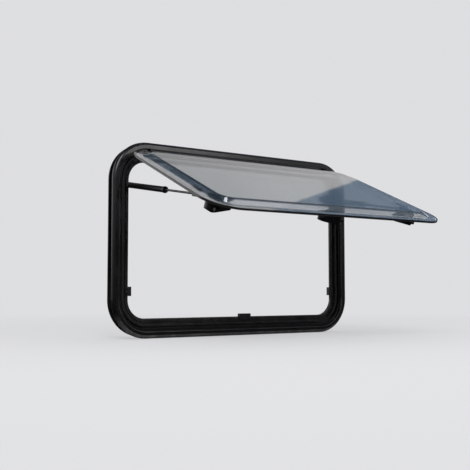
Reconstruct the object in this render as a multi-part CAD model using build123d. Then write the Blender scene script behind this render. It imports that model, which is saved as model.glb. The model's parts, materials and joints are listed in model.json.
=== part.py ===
from build123d import *
import math
import os

# Top-hung caravan window, standing open on its two telescopic stays.
# +X is to the right seen from outside, +Y goes into the wall and +Z is up.
# The origin is the window's centre on the outer face of the wall. All sizes are in millimetres.
# An inset is measured inwards from the outer edge of the frame, a height outwards from the wall's face.

# Wall and frame
CUTOUT_WIDTH = 750.0
CUTOUT_HEIGHT = 465.0
WALL_THICKNESS = 26.0
FLANGE_OVERLAP = 22.0
CORNER_RADIUS = 100.0
FLANGE_PROUD = 10.0
FLANGE_ROUNDING = 9.0
FLANGE_FACE = 17.5
FLANGE_EDGE_ROUNDING = 1.5
FLANGE_DRAFT = 15.0
LEDGE_THICKNESS = 3.2
CUTOUT_CLEARANCE = 1.0
NECK_WALL = 3.0
FLOOR_DEPTH = 6.0
FLOOR_THICKNESS = 3.0
FLOOR_WIDTH = 14.0
GROOVE_WIDTH = 2.5
GROOVE_DEPTH = 1.5
LIP_WIDTH = 9.0
LIP_RISE = 0.5
LIP_BACK = 12.4
LIP_ROUNDING = 2.5
DRAIN_SLOT_LENGTH = 22.0
DRAIN_SLOT_WIDTH = 3.5
DRAIN_SLOT_DEPTH = 5.0
DRAIN_SLOT_INSET = 14.0
DRAIN_SLOT_MIDDLE = 14.0
DRAIN_SLOT_OFFSET = 171.5

# Clamp ring on the inside of the wall
INNER_FRAME_SETBACK = 4.0
INNER_FRAME_WIDTH = 28.0
INNER_FRAME_THICKNESS = 6.0
INNER_FRAME_ROUNDING = 4.0
LOCATING_RIB_WIDTH = 2.5
LOCATING_RIB_DEPTH = 6.0
LOCATING_RIB_CLEARANCE = 0.4

# Rubber seal on the frame's floor
SEAL_WIDTH = 8.0
SEAL_HEIGHT = 7.0
SEAL_GAP_TO_GROOVE = 2.5
SEAL_ROUNDING = 3.0

# Hinge along the top
HINGE_INSET = 23.5
HINGE_PROUD = 9.0
HINGE_END_SETBACK = 7.0
BEAD_RADIUS = 3.0
BEAD_CLEARANCE = 0.3
BEAD_END_SETBACK = 5.0
SOCKET_WALL = 2.2
SOCKET_MOUTH_FROM = -55.0
SOCKET_MOUTH_TO = 82.0
SOCKET_MOUTH_STEPS = 4
HINGE_STRIP_THICKNESS = 2.2
HINGE_STRIP_LENGTH = 20.0

# Flap
OPEN_ANGLE = 66.25
FLAP_GAP = 5.5
FLAP_TOP_GAP = 7.0
FLAP_PROUD = 3.2
PANE_THICKNESS = 3.0
PANE_EDGE_ROUNDING = 1.0
RIM_WIDTH = 25.0
BEVEL_WIDTH = 20.0
BEVEL_HEIGHT = 9.0
BEVEL_CROWN_ROUNDING = 12.0
BEVEL_FOOT_ROUNDING = 8.0
INNER_PANE_THICKNESS = 2.0
INNER_PANE_INSET = 12.0
INNER_PANE_GAP = 2.0
GASKET_THICKNESS = 1.0
GASKET_BOND_WIDTH = 10.0
GASKET_BEAD_WIDTH = 4.5
GASKET_CLEARANCE = 0.3

# Telescopic stays
STAY_CLEARANCE = 6.0
STAY_PIVOT_DROP = 86.5
STAY_PIVOT_DEPTH = 32.0
STAY_ABOVE_LATCH = 45.4
STAY_PIN_DEPTH = 11.0
STAY_CLOSED_GAP = 29.7
TUBE_RADIUS = 7.5
TUBE_BORE = 3.5
TUBE_PLUG = 25.0
TUBE_EYE_WIDTH = 9.0
COLLAR_RADIUS = 8.2
COLLAR_LENGTH = 7.0
ROD_RADIUS = 2.75
ROD_INSERTION = 37.0
ROD_END_LENGTH = 14.0
ROD_END_TIP = 6.5
ROD_END_HEIGHT = 6.5
ROD_END_WIDTH = 8.0
PIVOT_PIN_RADIUS = 3.0
PIVOT_CLEARANCE = 0.3
PIVOT_PIN_OVERHANG = 1.5
FRAME_BRACKET_LENGTH = 30.0
FRAME_BRACKET_BEYOND_PIN = 8.0
FLAP_BRACKET_LENGTH = 34.0
FLAP_BRACKET_BASE = 3.0
FLAP_BRACKET_CHEEK = 3.5
CHEEK_GAP = 1.0

# Turn latches and their catches
SIDE_LATCH_ABOVE_CORNER = 21.5
BOTTOM_LATCH_X = 24.0
SIDE_CATCH_LENGTH = 24.0
BOTTOM_CATCH_LENGTH = 38.0
CATCH_REACH = 8.0
CATCH_FRONT = 2.0
CATCH_BACK = 1.0
LATCH_CLEARANCE = 5.0
LATCH_HUB_RADIUS = 18.0
LATCH_TIP_RADIUS = 11.0
LATCH_LEVER_LENGTH = 40.0
LATCH_BASE_RADIUS = 15.0
LATCH_BASE_HEIGHT = 6.5
LATCH_LIFT = 0.3
LATCH_HUB_DEPTH = 34.5
LATCH_HUB_CHAMFER = 4.0
LATCH_TIP_DEPTH = 27.0
LATCH_TIP_THICKNESS = 7.0
LATCH_ROUNDING = 2.5
SPINDLE_RADIUS = 5.0
SPINDLE_LENGTH = 20.0
SPINDLE_CLEARANCE = 0.3
SPINDLE_HEADROOM = 1.0
TONGUE_REACH = 26.5
TONGUE_WIDTH = 16.0
TONGUE_THICKNESS = 6.0
TONGUE_CLEARANCE = 1.9

# Sizes that follow from the ones above
WIDTH = CUTOUT_WIDTH + 2 * FLANGE_OVERLAP
HEIGHT = CUTOUT_HEIGHT + 2 * FLANGE_OVERLAP
NECK_INSET = FLANGE_OVERLAP + CUTOUT_CLEARANCE
FLOOR_INSET = NECK_INSET + NECK_WALL
GROOVE_INSET = FLOOR_INSET + FLOOR_WIDTH
LIP_INSET = GROOVE_INSET + GROOVE_WIDTH
APERTURE_INSET = LIP_INSET + LIP_WIDTH
LIP_FRONT = FLOOR_DEPTH - LIP_RISE
HINGE_Y = -HINGE_PROUD
HINGE_Z = HEIGHT / 2 - HINGE_INSET
HINGE_HALF_LENGTH = WIDTH / 2 - CORNER_RADIUS - HINGE_END_SETBACK
SOCKET_BORE = BEAD_RADIUS + BEAD_CLEARANCE
SOCKET_RADIUS = SOCKET_BORE + SOCKET_WALL
FLAP_INSET = FLANGE_FACE + FLAP_GAP
FLAP_TOP_Z = HINGE_Z - FLAP_TOP_GAP
FLAP_BOTTOM_Z = FLAP_INSET - HEIGHT / 2
FLAP_WIDTH = WIDTH - 2 * FLAP_INSET
FLAP_RADIUS = CORNER_RADIUS - FLAP_INSET
RIM_BACK = HINGE_PROUD + FLAP_PROUD - PANE_THICKNESS
INNER_FRONT = RIM_BACK - GASKET_THICKNESS
INNER_BACK = INNER_FRONT - INNER_PANE_THICKNESS
STAY_X = WIDTH / 2 - APERTURE_INSET - STAY_CLEARANCE - TUBE_RADIUS
STAY_PIVOT = Vector(0, STAY_PIVOT_DEPTH, HINGE_Z - STAY_PIVOT_DROP)
SIDE_LATCH_Z = CORNER_RADIUS - HEIGHT / 2 + SIDE_LATCH_ABOVE_CORNER
STAY_PIN_CLOSED = Vector(0, STAY_PIN_DEPTH - INNER_BACK, SIDE_LATCH_Z + STAY_ABOVE_LATCH)
TUBE_LENGTH = (STAY_PIN_CLOSED - STAY_PIVOT).length - COLLAR_LENGTH - ROD_END_LENGTH - STAY_CLOSED_GAP
CATCH_INSET = APERTURE_INSET + CATCH_REACH
LATCH_INSET = CATCH_INSET + LATCH_CLEARANCE + LATCH_HUB_RADIUS
HINGE_AXIS = Axis((0, HINGE_Y, HINGE_Z), (1, 0, 0))


def outline(inset):
    """The frame's rounded outline, moved inwards by an inset."""
    return RectangleRounded(WIDTH - 2 * inset, HEIGHT - 2 * inset, CORNER_RADIUS - inset)


def slab(inset, low, high):
    """A plate with the frame's outline between two heights."""
    return extrude(Plane.XZ.offset(low) * outline(inset), amount=high - low)


def ring(outer, inner, low, high):
    """A closed ring with the frame's outline between two insets and two heights."""
    return extrude(Plane.XZ.offset(low) * (outline(outer) - outline(inner)), amount=high - low)


def face_edges(solid, height, inset):
    """The edge loop of a flat face at a height, the loop whose outline has the given inset."""
    half_width = WIDTH / 2 - inset
    edges = solid.edges().filter_by_position(Axis.Y, -height - 0.01, -height + 0.01)
    return [edge for edge in edges if lies_on_outline(edge, inset, half_width)]


def lies_on_outline(edge, inset, half_width):
    """Whether an edge's middle lies on the frame's outline at an inset."""
    middle = edge @ 0.5
    half_height = HEIGHT / 2 - inset
    radius = CORNER_RADIUS - inset
    over_x = max(abs(middle.X) - (half_width - radius), 0)
    over_z = max(abs(middle.Z) - (half_height - radius), 0)
    return abs(math.hypot(over_x, over_z) - radius) < 0.05


def swung(point):
    """A point of the closed flap's section after the flap has opened."""
    turn = math.radians(-OPEN_ANGLE)
    out = point.Y - HINGE_Y
    up = point.Z - HINGE_Z
    return Vector(point.X, HINGE_Y + out * math.cos(turn) - up * math.sin(turn),
                  HINGE_Z + out * math.sin(turn) + up * math.cos(turn))


def opened(solid):
    """A flap piece swung from its closed place to the open one."""
    return solid.rotate(HINGE_AXIS, -OPEN_ANGLE)


def outer_frame():
    """Flange on the wall, ledge, floor for the seal, inner lip and neck through the cut-out."""
    flange = slab(0, 0, FLANGE_PROUD)
    flange = fillet(face_edges(flange, FLANGE_PROUD, 0), FLANGE_ROUNDING)
    body = flange + slab(NECK_INSET, -FLOOR_DEPTH - FLOOR_THICKNESS, 0)
    body += ring(NECK_INSET, FLOOR_INSET, -WALL_THICKNESS, 0)
    inwards = Plane(origin=(0, -FLANGE_PROUD, 0), x_dir=(1, 0, 0), z_dir=(0, 1, 0))
    body -= extrude(inwards * outline(FLANGE_FACE), amount=FLANGE_PROUD - LEDGE_THICKNESS, taper=FLANGE_DRAFT)
    body -= slab(FLOOR_INSET, -FLOOR_DEPTH, FLANGE_PROUD)
    body -= ring(GROOVE_INSET, LIP_INSET, -FLOOR_DEPTH - GROOVE_DEPTH, -FLOOR_DEPTH)
    body += ring(LIP_INSET, APERTURE_INSET, -LIP_BACK, -LIP_FRONT)
    body -= slab(APERTURE_INSET, -WALL_THICKNESS, FLANGE_PROUD)
    body = fillet(face_edges(body, FLANGE_PROUD, FLANGE_FACE), FLANGE_EDGE_ROUNDING)
    body = fillet(face_edges(body, -LIP_FRONT, APERTURE_INSET), LIP_ROUNDING)
    slot = SlotOverall(DRAIN_SLOT_LENGTH, DRAIN_SLOT_WIDTH)
    for side in (-1, 1):
        place = Pos(DRAIN_SLOT_MIDDLE + side * DRAIN_SLOT_OFFSET, DRAIN_SLOT_INSET - HEIGHT / 2)
        body -= extrude(Plane.XZ.offset(FLANGE_PROUD) * place * slot, amount=-DRAIN_SLOT_DEPTH)
    return body


def inner_frame():
    """Clamp ring behind the wall, with a rib that locates it inside the neck."""
    inner = INNER_FRAME_SETBACK + INNER_FRAME_WIDTH
    back = WALL_THICKNESS + INNER_FRAME_THICKNESS
    body = ring(INNER_FRAME_SETBACK, inner, -back, -WALL_THICKNESS)
    body = fillet(face_edges(body, -back, INNER_FRAME_SETBACK), INNER_FRAME_ROUNDING)
    rib = FLOOR_INSET + LOCATING_RIB_CLEARANCE
    return body + ring(rib, rib + LOCATING_RIB_WIDTH, -WALL_THICKNESS, LOCATING_RIB_DEPTH - WALL_THICKNESS)


def frame_seal():
    """D-shaped rubber seal on the floor between the neck and the groove."""
    inner = GROOVE_INSET - SEAL_GAP_TO_GROOVE
    outer = inner - SEAL_WIDTH
    top = SEAL_HEIGHT - FLOOR_DEPTH
    body = ring(outer, inner, -FLOOR_DEPTH, top)
    crown = face_edges(body, top, outer) + face_edges(body, top, inner)
    return fillet(crown, SEAL_ROUNDING)


def mouth_point(angle, reach):
    """A point of the hinge section at an angle from straight down towards the outside."""
    turn = math.radians(angle)
    return (HINGE_Y - reach * math.sin(turn), HINGE_Z - reach * math.cos(turn))


def hinge_rail():
    """C-shaped socket that holds the flap's bead, on a foot that stands on the ledge."""
    section = Pos(HINGE_Y, HINGE_Z) * Circle(SOCKET_RADIUS)
    foot_depth = HINGE_PROUD - LEDGE_THICKNESS
    section += Pos(HINGE_Y + foot_depth / 2, HINGE_Z) * Rectangle(foot_depth, 2 * SOCKET_WALL)
    section -= Pos(HINGE_Y, HINGE_Z) * Circle(SOCKET_BORE)
    sweep = (SOCKET_MOUTH_TO - SOCKET_MOUTH_FROM) / SOCKET_MOUTH_STEPS
    turns = [SOCKET_MOUTH_FROM + sweep * step for step in range(SOCKET_MOUTH_STEPS + 1)]
    fan = [mouth_point(turn, 2 * SOCKET_RADIUS) for turn in turns]
    section -= make_face(Polyline((HINGE_Y, HINGE_Z), *fan, close=True))
    return extrude(Plane.YZ * section, amount=HINGE_HALF_LENGTH, both=True)


def hinge_bead():
    """Round bead in the hinge socket, with the strip that carries the flap's rim."""
    half_length = HINGE_HALF_LENGTH - BEAD_END_SETBACK
    front = -RIM_BACK
    strip = Pos(front + HINGE_STRIP_THICKNESS / 2, HINGE_Z - HINGE_STRIP_LENGTH / 2)
    section = Pos(HINGE_Y, HINGE_Z) * Circle(BEAD_RADIUS)
    section += strip * Rectangle(HINGE_STRIP_THICKNESS, HINGE_STRIP_LENGTH)
    return opened(extrude(Plane.YZ * section, amount=half_length, both=True))


def pane_outline(inset):
    """The closed flap's outline, moved inwards by an inset."""
    height = FLAP_TOP_Z - FLAP_BOTTOM_Z
    middle = (FLAP_TOP_Z + FLAP_BOTTOM_Z) / 2
    face = RectangleRounded(FLAP_WIDTH - 2 * inset, height - 2 * inset, FLAP_RADIUS - inset)
    return Pos(0, middle) * face


def raised_centre(low):
    """The bevelled plateau of the outer pane, from a height, with a rounded crown."""
    base = Plane.XZ.offset(low) * pane_outline(RIM_WIDTH)
    top = Plane.XZ.offset(low + BEVEL_HEIGHT) * pane_outline(RIM_WIDTH + BEVEL_WIDTH)
    body = loft([base, top], ruled=True)
    return fillet(body.faces().sort_by(Axis.Y)[0].edges(), BEVEL_CROWN_ROUNDING)


def outer_pane():
    """Moulded outer skin of the flap: flat rim, bevel and raised centre, hollow behind."""
    front = RIM_BACK + PANE_THICKNESS
    body = extrude(Plane.XZ.offset(RIM_BACK) * pane_outline(0), amount=PANE_THICKNESS)
    body = fillet(body.faces().sort_by(Axis.Y)[0].edges(), PANE_EDGE_ROUNDING)
    body += raised_centre(front)
    body = fillet(foot_edges(body, front), BEVEL_FOOT_ROUNDING)
    return opened(body - raised_centre(RIM_BACK))


def foot_edges(solid, height):
    """The edge loop where the outer pane's bevel rises from its rim."""
    half_width = FLAP_WIDTH / 2 - RIM_WIDTH
    edges = solid.edges().filter_by_position(Axis.Y, -height - 0.01, -height + 0.01)
    return [edge for edge in edges if abs((edge @ 0.5).X) < half_width + 0.01 and edge.is_interior]


def inner_outline(inset):
    """The closed inner pane's outline, below the hinge strip, moved inwards by an inset."""
    low = FLAP_BOTTOM_Z + INNER_PANE_INSET
    high = HINGE_Z - HINGE_STRIP_LENGTH - INNER_PANE_GAP
    width = FLAP_WIDTH - 2 * INNER_PANE_INSET
    face = RectangleRounded(width - 2 * inset, high - low - 2 * inset, FLAP_RADIUS - INNER_PANE_INSET - inset)
    return Pos(0, (low + high) / 2) * face


def inner_pane():
    """Flat inner skin of the flap, bonded behind the rim below the hinge strip."""
    return opened(extrude(Plane.XZ.offset(INNER_BACK) * inner_outline(0), amount=INNER_PANE_THICKNESS))


def pane_gasket():
    """Sealing strip between the two panes, with a bead round the inner pane's edge below the hinge strip."""
    band = inner_outline(-GASKET_BEAD_WIDTH - GASKET_CLEARANCE)
    bonded = band - inner_outline(GASKET_BOND_WIDTH)
    beaded = band - inner_outline(-GASKET_CLEARANCE)
    bond = extrude(Plane.XZ.offset(INNER_FRONT) * bonded, amount=GASKET_THICKNESS)
    bead = extrude(Plane.XZ.offset(INNER_BACK) * beaded, amount=INNER_PANE_THICKNESS)
    top = HINGE_Z - HINGE_STRIP_LENGTH - GASKET_CLEARANCE
    above = box_between((-WIDTH, -HEIGHT, top), (WIDTH, HEIGHT, HEIGHT))
    return opened(bond + bead - above)


def box_between(low, high):
    """A block between two corners."""
    size = [high[i] - low[i] for i in range(3)]
    middle = [(high[i] + low[i]) / 2 for i in range(3)]
    return Pos(*middle) * Box(*size)


def stay_plane():
    """Plane of the right-hand stay: x along the rod from the frame's pivot, y away from the flap."""
    reach = swung(STAY_PIN_CLOSED) - STAY_PIVOT
    return Plane(origin=STAY_PIVOT + Vector(STAY_X, 0, 0), x_dir=reach, z_dir=(1, 0, 0)), reach.length


def along(start, end, radius):
    """A round bar on the local x axis between two places."""
    return extrude(Plane.YZ.offset(start) * Circle(radius), amount=end - start)


def stay_tube():
    """Tube of the stay, with a flattened eye on the frame's pivot."""
    body = along(TUBE_RADIUS, TUBE_LENGTH, TUBE_RADIUS) - along(TUBE_PLUG, TUBE_LENGTH, TUBE_BORE)
    eye = extrude(Circle(TUBE_RADIUS) + Pos(TUBE_RADIUS, 0) * Rectangle(2 * TUBE_RADIUS, 2 * TUBE_RADIUS),
                  amount=TUBE_EYE_WIDTH / 2, both=True)
    body += eye
    return body - Cylinder(PIVOT_PIN_RADIUS + PIVOT_CLEARANCE, 4 * TUBE_RADIUS)


def stay_collar():
    """Guide collar on the tube's open end."""
    body = along(TUBE_LENGTH, TUBE_LENGTH + COLLAR_LENGTH, COLLAR_RADIUS)
    return body - along(TUBE_LENGTH, TUBE_LENGTH + COLLAR_LENGTH, TUBE_BORE)


def stay_rod(length):
    """Sliding rod of the stay, from inside the tube to its end fitting."""
    return along(TUBE_LENGTH - ROD_INSERTION, length - ROD_END_LENGTH, ROD_RADIUS)


def stay_rod_end(length):
    """End fitting of the rod: a cradle that is open towards the flap and holds its pin from below."""
    half = ROD_END_WIDTH / 2
    start = length - ROD_END_LENGTH
    end = length + ROD_END_TIP
    body = box_between((start, -ROD_RADIUS, -half), (end, ROD_END_HEIGHT, half))
    notch = PIVOT_PIN_RADIUS + PIVOT_CLEARANCE
    body -= Pos(length, 0, 0) * Cylinder(notch, 2 * ROD_END_WIDTH)
    return body - box_between((length - 2 * notch, -2 * notch, -2 * half), (2 * end, 0, 2 * half))


def stay_frame_bracket():
    """Bracket behind the lip with the pivot pin of the stay's tube."""
    outer = WIDTH / 2 - LIP_INSET
    inner = WIDTH / 2 - APERTURE_INSET
    middle = STAY_PIVOT.Z
    half = FRAME_BRACKET_LENGTH / 2
    back = STAY_PIVOT_DEPTH + FRAME_BRACKET_BEYOND_PIN
    body = box_between((inner, LIP_BACK, middle - half), (outer, back, middle + half))
    body = fillet(body.edges().filter_by(Axis.X).sort_by(Axis.Y)[-2:], FRAME_BRACKET_BEYOND_PIN)
    pin_end = STAY_X - TUBE_EYE_WIDTH / 2 - PIVOT_PIN_OVERHANG
    pin = Plane.YZ.offset(pin_end) * Pos(STAY_PIVOT_DEPTH, middle) * Circle(PIVOT_PIN_RADIUS)
    return body + extrude(pin, amount=inner - pin_end)


def flap_stay_bracket():
    """Bracket on the inner pane with the pin that the rod's end carries."""
    middle = STAY_PIN_CLOSED.Z
    half = FLAP_BRACKET_LENGTH / 2
    cheek = STAY_X + ROD_END_WIDTH / 2 + CHEEK_GAP
    outer = cheek + FLAP_BRACKET_CHEEK
    inner = STAY_X - ROD_END_WIDTH / 2 - PIVOT_PIN_OVERHANG
    face = -INNER_BACK
    body = box_between((inner, face, middle - half), (outer, face + FLAP_BRACKET_BASE, middle + half))
    ear = Pos(STAY_PIN_CLOSED.Y, middle) * Circle(2 * PIVOT_PIN_RADIUS)
    rise = STAY_PIN_CLOSED.Y - face
    web = Pos(face + rise / 2, middle) * Rectangle(rise, 4 * PIVOT_PIN_RADIUS)
    body += extrude(Plane.YZ.offset(cheek) * (ear + web), amount=FLAP_BRACKET_CHEEK)
    pin = Plane.YZ.offset(inner) * Pos(STAY_PIN_CLOSED.Y, middle) * Circle(PIVOT_PIN_RADIUS)
    return opened(body + extrude(pin, amount=cheek - inner))


def side_catch():
    """Catch on the right-hand lip: a plate on its face and a nose into the opening."""
    return catch(SIDE_LATCH_Z, SIDE_CATCH_LENGTH, WIDTH / 2)


def catch(middle, length, half_span):
    """A catch that lies along the lip's inner edge, around a middle, on the side at half the span."""
    half = length / 2
    tip = half_span - CATCH_INSET
    edge = half_span - APERTURE_INSET
    root = half_span - LIP_INSET - CATCH_BACK
    front = LIP_FRONT - CATCH_FRONT
    nose = box_between((tip, front, middle - half), (edge, LIP_BACK + CATCH_BACK, middle + half))
    return nose + box_between((edge, front, middle - half), (root, LIP_FRONT, middle + half))


def bottom_catch():
    """The catch on the sill's lip, turned from the side one."""
    flat = catch(BOTTOM_LATCH_X, BOTTOM_CATCH_LENGTH, HEIGHT / 2)
    return flat.rotate(Axis.Y, 90)


def latch_places():
    """Each latch's name, closed centre, lever direction and the turn from its lever to its tongue."""
    side_x = WIDTH / 2 - LATCH_INSET
    bottom_z = LATCH_INSET - HEIGHT / 2
    return (("left", (-side_x, SIDE_LATCH_Z), (1, 0, 0), 90),
            ("right", (side_x, SIDE_LATCH_Z), (-1, 0, 0), -90),
            ("bottom", (BOTTOM_LATCH_X, bottom_z), (-1, 0, 0), 180))


def latch_plane(centre, lever):
    """Plane of a latch on the closed inner pane: x along the lever, z away from the pane."""
    return Plane(origin=(centre[0], -INNER_BACK, centre[1]), x_dir=lever, z_dir=(0, 1, 0))


def latch_base():
    """Round foot on the inner pane with the spindle that the handle turns on."""
    body = extrude(Circle(LATCH_BASE_RADIUS), amount=LATCH_BASE_HEIGHT)
    return body + extrude(Plane.XY.offset(LATCH_BASE_HEIGHT) * Circle(SPINDLE_RADIUS), amount=SPINDLE_LENGTH)


def lever_profile():
    """The handle's side view: deep over its hub, with a thin lever that stands clear of the pane."""
    bottom = LATCH_BASE_HEIGHT + LATCH_LIFT
    back = -LATCH_HUB_RADIUS
    end = LATCH_LEVER_LENGTH + LATCH_TIP_RADIUS
    crown = back + 2 * LATCH_HUB_CHAMFER
    top = [(back, LATCH_HUB_DEPTH - LATCH_HUB_CHAMFER), (crown, LATCH_HUB_DEPTH), (end, LATCH_TIP_DEPTH)]
    under = [(end, LATCH_TIP_DEPTH - LATCH_TIP_THICKNESS), (LATCH_HUB_RADIUS, bottom), (back, bottom)]
    return make_face(Polyline(*top, *under, close=True))


def latch_handle(tongue_turn):
    """Handle with a deep hub and a thin lever, and a tongue that swings behind the catch."""
    hub = Circle(LATCH_HUB_RADIUS)
    tip = Pos(LATCH_LEVER_LENGTH, 0) * Circle(LATCH_TIP_RADIUS)
    plan = extrude(make_hull(hub.edges() + tip.edges()), amount=2 * LATCH_HUB_DEPTH)
    body = plan & extrude(Plane.XZ * lever_profile(), amount=2 * LATCH_HUB_RADIUS, both=True)
    crown = body.faces().filter_by(GeomType.PLANE).sort_by(Axis.Z)[-1].edges()
    body = fillet(crown, LATCH_ROUNDING)
    front = LIP_BACK + CATCH_BACK + TONGUE_CLEARANCE + INNER_BACK
    half = TONGUE_WIDTH / 2
    tongue = box_between((0, -half, front), (TONGUE_REACH, half, front + TONGUE_THICKNESS))
    body += tongue.rotate(Axis.Z, tongue_turn)
    bore_depth = LATCH_BASE_HEIGHT + SPINDLE_LENGTH + SPINDLE_HEADROOM
    return body - extrude(Circle(SPINDLE_RADIUS + SPINDLE_CLEARANCE), amount=bore_depth)


def pieces():
    """Every piece of the window by its name."""
    plane, length = stay_plane()
    found = {
        "outer_frame": outer_frame(),
        "inner_frame": inner_frame(),
        "frame_seal": frame_seal(),
        "hinge_rail": hinge_rail(),
        "hinge_bead": hinge_bead(),
        "outer_pane": outer_pane(),
        "inner_pane": inner_pane(),
        "pane_gasket": pane_gasket(),
        "catch_bottom": bottom_catch(),
    }
    right_hand = {
        "catch": side_catch(),
        "stay_frame_bracket": stay_frame_bracket(),
        "flap_stay_bracket": flap_stay_bracket(),
        "stay_tube": plane * stay_tube(),
        "stay_collar": plane * stay_collar(),
        "stay_rod": plane * stay_rod(length),
        "stay_rod_end": plane * stay_rod_end(length),
    }
    for name, solid in right_hand.items():
        found[name + "_right"] = solid
        found[name + "_left"] = mirror(solid, about=Plane.YZ)
    for name, centre, lever, tongue_turn in latch_places():
        place = latch_plane(centre, lever)
        found["latch_base_" + name] = opened(place * latch_base())
        found["latch_handle_" + name] = opened(place * latch_handle(tongue_turn))
    return found


os.makedirs("parts", exist_ok=True)
for node, solid in pieces().items():
    export_step(solid, os.path.join("parts", node + ".step"))
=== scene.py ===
"""Looks of a top-hung caravan window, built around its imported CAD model."""

import json
import logging
import math
from dataclasses import dataclass, field
from enum import Enum
from functools import reduce
from typing import Any

import bmesh
import bpy
from mathutils import Matrix, Vector

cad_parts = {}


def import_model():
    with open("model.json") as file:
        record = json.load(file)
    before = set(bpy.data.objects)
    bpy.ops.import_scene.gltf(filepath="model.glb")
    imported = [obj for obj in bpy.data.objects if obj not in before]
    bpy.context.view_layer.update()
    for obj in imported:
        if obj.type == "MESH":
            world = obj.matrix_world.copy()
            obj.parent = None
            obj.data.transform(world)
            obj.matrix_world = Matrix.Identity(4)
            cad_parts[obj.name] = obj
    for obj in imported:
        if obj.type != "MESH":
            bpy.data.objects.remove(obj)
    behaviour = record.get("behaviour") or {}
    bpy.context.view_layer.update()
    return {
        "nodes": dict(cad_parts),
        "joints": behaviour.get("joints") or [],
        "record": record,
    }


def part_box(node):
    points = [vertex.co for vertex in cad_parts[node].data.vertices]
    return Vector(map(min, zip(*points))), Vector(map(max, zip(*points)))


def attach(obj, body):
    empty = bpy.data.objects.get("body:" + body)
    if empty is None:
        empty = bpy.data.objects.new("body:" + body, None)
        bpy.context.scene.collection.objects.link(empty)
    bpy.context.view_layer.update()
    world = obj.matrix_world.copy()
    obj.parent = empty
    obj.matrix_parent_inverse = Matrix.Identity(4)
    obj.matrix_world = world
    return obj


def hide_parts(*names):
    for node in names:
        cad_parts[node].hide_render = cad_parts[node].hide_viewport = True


Point = tuple[float, float]
Triple = tuple[float, float, float]
Colour = Triple
Profile = tuple[Point, ...]
Inputs = dict[str | int, Any]
Levels = tuple[tuple[str, float], ...]
Socket = bpy.types.NodeSocket

# A range's start and end, and what these two become
Limits = tuple[float, float, float, float]

MM = 0.001

# The stretch of a pattern along an extruded strip and along a drawn rod, and the stays' tilt in degrees
EXTRUDED: Triple = (0.01, 1.0, 1.0)
DRAWN: Triple = (1.0, 0.02, 1.0)
STAY_TILT = -9.4

ACROSS = Vector((1, 0, 0)).freeze()
LOG = logging.getLogger("caravan_window")


class Body(Enum):
    """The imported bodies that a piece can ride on."""

    FRAME = "frame"
    FLAP = "flap"
    STAY_TUBE = "stay_tube_"
    LATCH = "latch_"

    def named(self, place: str = "") -> str:
        """The body's full name at a place of the window."""
        return self.value + place


class Slot(Enum):
    """The record's material slots."""

    FRAME = "black_frame"
    RUBBER = "seal_rubber"
    BOND = "pane_bond"
    OUTER_ACRYLIC = "tinted_acrylic"
    INNER_ACRYLIC = "inner_acrylic"
    STRIP = "hinge_strip"
    FITTING = "black_fitting"
    LATCH = "latch_black"
    TUBE = "black_tube"
    ROD = "grey_rod"


class Side(Enum):
    """The window's two sides, seen from outside."""

    LEFT = -1
    RIGHT = 1

    @property
    def word(self) -> str:
        """The side's name in the names of nodes and bodies."""
        return self.name.lower()


@dataclass(frozen=True)
class FlapPlane:
    """The shut flap's outline in millimetres, and the open flap's directions."""

    open_angle: float = 66.25
    hinge: Triple = (0.0, -9.0, 231.0)
    half_width: float = 374.0
    low_edge: float = -231.5
    high_edge: float = 224.0
    corner: float = 77.0

    @property
    def inwards(self) -> Vector:
        """The direction from the open pane to the inside."""
        turn = math.radians(-self.open_angle)
        return Vector((0, math.cos(turn), math.sin(turn)))

    @property
    def upwards(self) -> Vector:
        """The direction along the open pane to the hinge."""
        turn = math.radians(-self.open_angle)
        return Vector((0, -math.sin(turn), math.cos(turn)))


class NodeBench:
    """A node tree, with short ways to add nodes and to join them."""

    # A Mix node's colour sockets, which share their names with its other kinds
    MIX_COLOURS = (6, 7)
    MIX_RESULT = 2

    def __init__(self, tree: bpy.types.NodeTree) -> None:
        """Keep the tree that the nodes go into."""
        self.tree = tree

    def feed(self, socket: Socket, value: Any) -> None:
        """Join a socket to an output, or set its own value.

        Args:
            socket: The input socket.
            value: Another node's output, or a plain value.
        """
        if isinstance(value, Socket):
            self.tree.links.new(value, socket)
        else:
            socket.default_value = value

    def add(self, kind: str, inputs: Inputs | None = None, **settings: Any) -> bpy.types.Node:
        """Add a node.

        Args:
            kind: The node's type.
            inputs: What its inputs are joined to or set to, by their names or numbers.
            settings: The node's own settings.

        Returns:
            The new node.
        """
        node = self.tree.nodes.new(kind)
        for name, value in settings.items():
            setattr(node, name, value)
        for key, value in (inputs or {}).items():
            self.feed(node.inputs[key], value)
        return node

    def math(self, operation: str, *values: Any) -> Socket:
        """Join outputs or numbers with a Math node."""
        return self.add("ShaderNodeMath", dict(enumerate(values)), operation=operation).outputs[0]

    def product(self, *shares: Any) -> Socket:
        """Multiply outputs or numbers with one another."""
        return reduce(lambda total, share: self.math("MULTIPLY", total, share), shares)

    def remap(self, value: Any, *limits: float) -> Socket:
        """Bring a value from one range to another, clamped."""
        return self.add("ShaderNodeMapRange", dict(enumerate((value, *limits)))).outputs[0]

    def axes(self, place: Socket) -> list[Socket]:
        """The x, y and z values of coordinates."""
        return list(self.add("ShaderNodeSeparateXYZ", {0: place}).outputs)

    def blend(self, share: Any, first: Any, second: Any) -> Socket:
        """Mix two colours.

        Args:
            share: How much of the second colour shows.
            first: The first colour, or an output.
            second: The second colour, or an output.

        Returns:
            The mixed colour.
        """
        inputs: Inputs = {0: share}
        for index, colour in zip(self.MIX_COLOURS, (first, second)):
            inputs[index] = colour if isinstance(colour, Socket) else (*colour, 1.0)
        return self.add("ShaderNodeMix", inputs, data_type="RGBA").outputs[self.MIX_RESULT]

    def layered(self, share: Any, under: bpy.types.Node, over: bpy.types.Node) -> bpy.types.Node:
        """Mix two shaders by the second one's share."""
        return self.add("ShaderNodeMixShader", {0: share, 1: under.outputs[0], 2: over.outputs[0]})


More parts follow.
